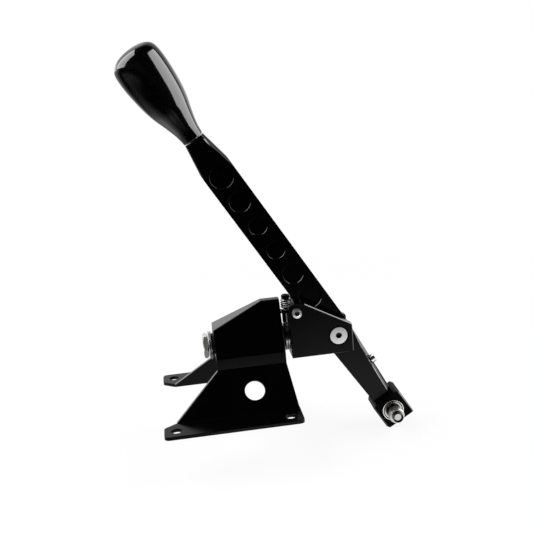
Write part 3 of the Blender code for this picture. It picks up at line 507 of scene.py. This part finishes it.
# Carrier: shaft, nut and washers on the gate axis
FRONT_X = BOX_X0 - GAP - 1.5
NUT_X = FRONT_X - 0.6 - 2.5 - GAP - 4.2
YOKE_X0 = BOX_X1 + 1.5 + 2 * 1.65 + 1.2
HEAD_X = YOKE_X0 + 10.2 + GAP
shaft = spun([(0, NUT_X + 0.2), (5.4, NUT_X + 0.2)] + thread(6.0, NUT_X + 0.7, FRONT_X - 0.2, 1.0)
             + [(6.0, FRONT_X + 0.4), (6.0, HEAD_X), (9.0, HEAD_X), (9.2, HEAD_X + 0.2), (9.2, HEAD_X + 5.2),
                (8.8, HEAD_X + 5.8), (8.4, HEAD_X + 6.0), (4.9, HEAD_X + 6.0), (4.6, HEAD_X + 5.7),
                (4.6, HEAD_X + 3.0), (0, HEAD_X + 2.2)])
for v in shaft.verts:
    r = math.hypot(v.co.x, v.co.y)
    if 4.0 < r < 5.0 and v.co.z > HEAD_X + 2.5:
        v.co.x *= hex_reach(math.atan2(v.co.y, v.co.x)) * math.cos(math.pi / 6)
        v.co.y *= hex_reach(math.atan2(v.co.y, v.co.x)) * math.cos(math.pi / 6)
piece("gate_shaft_turned", aimed(shaft, "X", (0, 0, AXIS_Z)), "carrier", SHAFT_STEEL,
      ["gate_shaft"])
piece("gate_shaft_nut", aimed(hex_nut(19.0, 6.3, 4.2), "X", (NUT_X, 0, AXIS_Z)), "carrier", NUT_ZINC,
      ["shaft_nut"])
for k in range(2):
    x = FRONT_X - (k + 1) * (GAP + 1.25)
    piece(f"gate_washer_front_{k + 1}", aimed(washer(6.3, 12.05, 1.25, 0.3), "X", (x, 0, AXIS_Z)), "carrier",
          WASHER_ZINC, [f"front_washer_{k + 1}"])
    x = BOX_X1 + GAP + 1.5 + GAP + k * (1.65 + GAP)
    piece(f"gate_washer_rear_{k + 1}", aimed(washer(6.3, 12.05, 1.65, 0.25), "X", (x, 0, AXIS_Z)), "carrier",
          SHAFT_STEEL, [f"rear_washer_{k + 1}"])

# Yoke, stop block and their screws
yoke = from_solid("carrier_yoke")


def yoke_rim(edge):
    """The outline of the yoke's broad faces, without the rims of its holes."""
    return all(abs(abs(v.co.y) - YOKE_Y) < 0.01 and math.hypot(v.co.x - PIVOT_X, v.co.z - AXIS_Z) > 9
               and math.hypot(v.co.x - CAP_SCREW_X, v.co.z - CAP_SCREW_Z) > 5 for v in edge.verts)


def pivot_rim(edge):
    """The rims of the pivot bolt's seats in the broad faces."""
    return all(abs(abs(v.co.y) - YOKE_Y) < 0.01 and math.hypot(v.co.x - PIVOT_X, v.co.z - AXIS_Z) < 9
               for v in edge.verts)


# Painted highlight: the chamfers of the broad faces that face up or right take the lighter edge finish.
soften(yoke, 0.65, 1, 40.0, yoke_rim, 1, True)
# Painted shade: this bevel round the pivot bolt's seat takes the near-black gap finish, a dark ring round the
# head.
soften(yoke, 0.5, 1, 20.0, pivot_rim, 2)
soften(yoke, 0.25, 2, 40.0, lambda e: e.calc_length() > 4 and all(abs(v.co.y) < YOKE_Y - 1 for v in e.verts))
piece("yoke_milled", yoke, "carrier", YOKE_GREY, ["carrier_yoke"], flat=60,
      extra=(EDGE_HIGHLIGHT_GREY, PAINTED_GAP_SHADE))
piece("yoke_stop_block", soften(from_solid("stop_block"), 0.3), "carrier", OXIDE_BLACK,
      ["stop_block"], flat=30)
for label, sign, way in (("near", -1, "-Y"), ("far", 1, "Y")):
    seat = (CAP_SCREW_X, sign * (YOKE_Y + GAP), CAP_SCREW_Z)
    bm = aimed(cap_screw(1.6, 13.0, 4.0, 4.0, 0.6), way, seat)
    piece(f"yoke_cap_screw_{label}", bm, "carrier", SCREW_STEEL,
          [f"stop_block_screw_{label}"])

head = [(0, -3.6), (2.6, -3.2), (2.6, -0.3), (2.9, 0), (7.15, 0), (7.35, -0.1),
        (7.4, -0.4), (4.0, -3.8), (4.0, -26.0)]
head += list(reversed([(r, z) for r, z in thread(4.0, -39.0, -27.0, 1.25)])) + [(3.4, -39.4), (0, -39.4)]
bolt = spun(head)
socketed(bolt, 3.0, -3.25)
piece("lever_pivot_bolt", aimed(bolt, "-Y", (PIVOT_X, -YOKE_Y, AXIS_Z)), "carrier", BOLT_STEEL,
      ["pivot_bolt"])
piece("lever_pivot_nut", aimed(hex_nut(13.0, 4.3, 4.6, 1.9), "Y", (PIVOT_X, YOKE_Y + GAP, AXIS_Z)), "carrier",
      WASHER_ZINC, ["pivot_nut"])

# Lever and its bushes
lever = from_solid("lever_bar")


def on_face(edge):
    """Edges in the broad faces of the bar."""
    return all(abs(abs(v.co.y) - LEVER_Y) < 0.01 for v in edge.verts)


def in_pocket(edge):
    """Edges of the round pockets, which lie well inside the bar's outline and above the pivot."""
    places = [LEVER_FRAME.inverted() @ v.co for v in edge.verts]
    return all(abs(p.x) < 10.3 and p.z > 25 for p in places)


# Painted highlight: the pocket rims' chamfers that face up or right take the lighter edge finish.
soften(lever, 0.8, 1, 24.0, lambda e: in_pocket(e) and on_face(e), 1, True)


def on_arm(edge):
    """Edges of the arm's broad faces, below the pivot."""
    return on_face(edge) and all((LEVER_FRAME.inverted() @ v.co).z < 2 for v in edge.verts)


# Painted highlight: the arm's edge chamfers that face up or right take the lighter edge finish.
soften(lever, 0.45, 1, 60.0, lambda e: on_arm(e) and e.calc_length() > 20, 1, True)
soften(lever, 0.4, 1, 50.0, lambda e: not in_pocket(e) and not on_arm(e) and e.calc_length() > 0.3)
piece("lever_bar_milled", lever, "lever", LEVER_FINISH, ["lever_bar"], flat=110,
      extra=(EDGE_HIGHLIGHT_GREY,))
for label, way in (("near", "-Y"), ("far", "Y")):
    bm = spun([(4.08, 0.15), (5.58, 0.15), (5.58, 6.8), (8.7, 6.8), (9.0, 7.1), (9.0, 9.4), (8.7, 9.7),
               (4.4, 9.7), (4.08, 9.4)])
    piece(f"pivot_bush_{label}", aimed(bm, way, (PIVOT_X, 0, AXIS_Z)), "lever", BUSH_FINISH,
          [f"lever_bush_{label}"])

# Knob on its stud
KNOB_Z = LEVER_L + 0.6
stud = spun([(0, LEVER_L - 15.0), (3.5, LEVER_L - 15.0)] + thread(4.0, LEVER_L - 14.5, KNOB_Z + 23.0, 1.25)
            + [(3.5, KNOB_Z + 24.0), (0, KNOB_Z + 24.0)], FINE)
piece("knob_threaded_stud", aimed(stud, "Z", (0, 0, 0), LEVER_FRAME), "lever", SHAFT_STEEL,
      ["knob_stud"])
KNOB_SHAPE = ((8.6, 0.0), (8.95, 0.12), (9.12, 0.6), (9.18, 2.0), (9.85, 8.0), (11.45, 14.0), (13.7, 21.5),
              (16.05, 28.0), (18.0, 35.5), (19.25, 43.0), (20.25, 51.5), (20.85, 59.5), (21.0, 66.0),
              (20.75, 72.3), (19.9, 76.8), (18.0, 80.2), (14.7, 82.6), (10.4, 84.3), (5.2, 85.25),
              (0.0, 85.5))
knob = spun([(0, KNOB_Z + 25.0), (4.3, KNOB_Z + 25.0), (4.3, KNOB_Z + 0.4), (4.6, KNOB_Z)]
            + [(r, KNOB_Z + h) for r, h in KNOB_SHAPE], FINE)
piece("knob_gloss_grip", aimed(knob, "Z", (0, 0, 0), LEVER_FRAME), "lever", KNOB_FINISH,
      ["shift_knob"], [("SUBSURF", {"levels": 2, "render_levels": 2})], 75)

# Throw clamp screw, driven into the side of the arm
CLAMP_U = -41.6
CLAMP_W = 13.25 - 4.75 * 41.6 / 74.6 - 1.2 + 0.3
bm = cap_screw(2.0, CLAMP_W - 1.6 - 0.3, 4.0, 4.2)
piece("throw_cap_screw", aimed(bm, "X", (CLAMP_W, 0, CLAMP_U), LEVER_FRAME), "lever", CLAMP_STEEL,
      ["throw_clamp_screw"])

# Cable block, bearing and stud
BLOCK_Y = 12.5       # half width of the block
block = from_solid("cable_block")


def block_side(edge):
    """The block's long outer edges, which run along the lever."""
    run = (edge.verts[1].co - edge.verts[0].co).normalized()
    along = LEVER_FRAME.to_3x3() @ Vector((0, 0, 1))
    return abs(run.dot(along)) > 0.9 and all(abs(abs(v.co.y) - BLOCK_Y) < 0.01 for v in edge.verts)


soften(block, 1.3, 1, 60.0, block_side, 1)
soften(block, 0.35, 1, 60.0)
piece("cable_block_milled", block, "block", BLOCK_FINISH, ["cable_block"], flat=60,
      extra=(BLOCK_EDGE,))


def sphere_arc(radius, half, count=14):
    """Points of a ball's outline, as (radius, height) pairs, between two equal heights."""
    heights = (half * (2 * k / count - 1) for k in range(count + 1))
    return [(math.sqrt(radius * radius - h * h), h) for h in heights]


race = [(9.0, 4.4), (9.35, 4.25), (9.5, 3.9), (9.5, -3.9), (9.35, -4.25), (9.0, -4.4), (8.6, -4.4),
        (8.4, -3.9), (7.9, -3.9), (7.7, -4.4), (5.9, -4.4)] + sphere_arc(7.0, 4.2) + [(5.9, 4.4)]
bm = spun(race)
# Painted shade: the faces of the grooves at the race's rims take the near-black gap finish.
for face in bm.faces:
    middle = face.calc_center_median()
    if 7.75 < math.hypot(middle.x, middle.y) < 8.55 and abs(middle.z) > 3.8:
        face.material_index = 1
piece("bearing_outer_race", aimed(bm, "Y", BALL_CENTRE), "block", RACE_CHROME,
      ["bearing_race"], extra=(PAINTED_GAP_SHADE,))
ball = [(3.4, 4.0), (3.4, -4.0), (3.6, -4.2)] + sphere_arc(6.7, 4.2) + [(3.6, 4.2)]
piece("bearing_inner_ball", aimed(spun(ball), "Y", BALL_CENTRE), "stud", BALL_CHROME,
      ["bearing_ball"])
END = -17.4
sleeve = [(3.4, -5.9), (3.4, END + 1.0), (4.6, END + 1.0), (4.6, END), (5.6, END), (6.1, END + 0.15),
          (6.6, END + 0.7), (6.6, END + 2.5), (6.2, END + 2.7), (6.2, END + 3.3), (6.6, END + 3.5),
          (6.6, END + 6.4), (6.0, END + 7.1), (4.7, END + 7.1), (4.7, -6.1), (4.5, -5.9)]
piece("cable_stud_sleeve", aimed(spun(sleeve), "Y", BALL_CENTRE), "stud", STUD_STEEL,
      ["stud_sleeve"])
pin = [(0, END - 2.2), (2.9, END - 2.2), (3.05, END - 2.05), (3.05, END - 1.0), (4.1, END - 1.0),
       (4.15, END - 3.7), (4.25, END - 3.8), (4.4, END - 3.7), (4.5, END - 3.4),
       (4.5, END + 0.7), (3.1, END + 0.7), (3.1, 4.5),
       (4.4, 4.5), (4.7, 4.8), (4.7, 6.2), (4.4, 6.5), (0, 6.5)]
piece("cable_stud_pin", aimed(spun(pin), "Y", BALL_CENTRE), "stud", PIN_STEEL, ["cable_stud"])


# Studio

FLOOR_Z = -0.042     # in metres, just under the lowest point of the part


def studio_camera():
    """The photograph's viewpoint: 14 degrees down, 6 degrees to the right, rolled by nearly 5 degrees."""
    yaw, pitch, roll = (math.radians(a) for a in (5.715, 14.23, 5.04))
    forward = Vector((math.sin(yaw) * math.cos(pitch), math.cos(yaw) * math.cos(pitch), -math.sin(pitch)))
    right = Vector((math.cos(yaw), -math.sin(yaw), 0))
    down = forward.cross(right)
    across = right * math.cos(roll) + down * math.sin(roll)
    below = down * math.cos(roll) - right * math.sin(roll)
    data = bpy.data.cameras.new("studio_camera")
    data.sensor_width = 36
    data.lens = 36 * 865.9 / 533
    data.clip_start = 0.01
    data.clip_end = 20
    obj = bpy.data.objects.new("studio_camera", data)
    turn = Matrix((across, -below, -forward)).transposed().to_4x4()
    obj.matrix_world = Matrix.Translation(Vector((-27.3, -699.6, 292.1)) * MM) @ turn
    bpy.context.scene.collection.objects.link(obj)
    bpy.context.scene.camera = obj


def softbox(name, where, towards, size, power, roll=0.0):
    """Soft rectangular lamp, with its place and size in metres and its roll in degrees."""
    data = bpy.data.lights.new(name, "AREA")
    data.shape = "RECTANGLE"
    data.size, data.size_y = size
    data.energy = power
    obj = bpy.data.objects.new(name, data)
    obj.location = where
    turn = (Vector(towards) - Vector(where)).to_track_quat("-Z", "Y").to_matrix()
    obj.rotation_euler = (turn @ Matrix.Rotation(math.radians(roll), 3, "Z")).to_euler()
    bpy.context.scene.collection.objects.link(obj)


def studio_world():
    """White to the camera; a white backdrop behind and a dim room in front for light and reflections."""
    world = bpy.data.worlds.new("studio")
    bpy.context.scene.world = world
    world.use_nodes = True
    tree = world.node_tree
    tree.nodes.clear()
    f = Finish.__new__(Finish)
    f.tree = tree
    ray = f.node("LightPath", output="Is Camera Ray")
    direction = f.node("TexCoord", output="Generated")
    side, behind, above = (f.node("SeparateXYZ", {}, {0: direction}, k) for k in range(3))
    bright = f.range(behind, 0.35, 0.6, 0.01, 1.0) * f.range(above, 0.15, 0.4, 2.5, 0.95)
    bright = bright * f.range(side, -0.15, 0.15, 1.0, 0.45)
    strength = ray + (1 - ray) * bright
    shade = f.node("Background", {}, {"Color": (1, 1, 1, 1), "Strength": strength})
    f.node("OutputWorld", {}, {"Surface": shade})


def studio_floor():
    """Pale floor: white to the camera with a soft shadow. In reflections its glow is painted: it fades
    towards the front, is darker under the part as a painted shadow and darker towards the front left as
    painted shade, and is brighter behind, to the right and to the left as painted reflections.
    """
    f = Finish("studio_floor")
    camera_ray = f.node("LightPath", output="Is Camera Ray")
    glossy_ray = f.node("LightPath", output="Is Glossy Ray")
    clear_ray = f.node("LightPath", output="Is Transmission Ray")
    flat = f.node("VectorMath", {"operation": "MULTIPLY"}, {0: f.place, 1: (1, 1, 0)})
    away = f.node("VectorMath", {"operation": "LENGTH"}, {0: flat}, "Value")
    y = f.node("SeparateXYZ", {}, {0: f.place}, 1)
    x = f.node("SeparateXYZ", {}, {0: f.place}, 0)
    fall = f.range(away, 0.2, 0.55, 1.13, 0.1)
    # Painted shadow and reflections: the glow seen in reflections is shaped by place, not cast by the lamps.
    near = fall * fall * f.range(x + y * 0.5, -0.24, -0.14, 0.45, 1.0) * f.range(away, 0.07, 0.15, 0.25, 1.0)
    beyond = near.math("MAXIMUM", f.range(away, 0.24, 0.28, 1.0, 0.2), f.range(x, 0.085, 0.12))
    ahead = f.range(x, -0.08, 0.0, 0.15, 1.0) * beyond
    near = near * near.math("MAXIMUM", f.range(y, -0.22, 0.04), ahead)
    back = f.range(y, 0.2, 0.8, 0.0, 1.0) * f.range(x, -0.5, -0.1, 0.45, 1.0)
    right = f.range(x, 0.25, 0.5, 0.0, 1.5) * f.range(y, -0.2, 0.0)
    left = f.range(x, -0.35, -0.6, 0.0, 0.15) * f.range(y, 0.1, -0.1) * f.range(away, 0.8, 1.2, 1.0, 0.0)
    painted_reflection = near.math("MAXIMUM", near, back) + right + left
    paint = f.node("BsdfDiffuse", {}, {"Color": (0.82, 0.82, 0.82, 1)})
    strength = camera_ray + (1 - camera_ray) * painted_reflection
    glow = f.node("Emission", {}, {"Color": (1, 1, 1, 1), "Strength": strength})
    share = camera_ray * f.range(away, 0.3, 0.75, 0.88, 1.0) + glossy_ray + clear_ray
    surface = f.node("MixShader", {}, {0: share, 1: paint, 2: glow})
    f.node("OutputMaterial", {}, {"Surface": surface})
    bm = bmesh.new()
    bmesh.ops.create_grid(bm, x_segments=1, y_segments=1, size=4)
    bmesh.ops.translate(bm, verts=bm.verts, vec=(0, 0, FLOOR_Z))
    mesh = bpy.data.meshes.new("floor")
    bm.to_mesh(mesh)
    bm.free()
    mesh.materials.append(f.material)
    floor = bpy.data.objects.new("floor", mesh)
    bpy.context.scene.collection.objects.link(floor)


studio_camera()
studio_world()
studio_floor()
softbox("softbox_right", (1.1, -0.19, 0.68), (0.0, -0.19, 0.68), (1.24, 1.6), 28, -10)
softbox("softbox_left", (-1.0, 0.0, 0.95), (0.0, 0, 0.2), (1.3, 1.6), 30)
bpy.context.scene.view_settings.view_transform = "Standard"
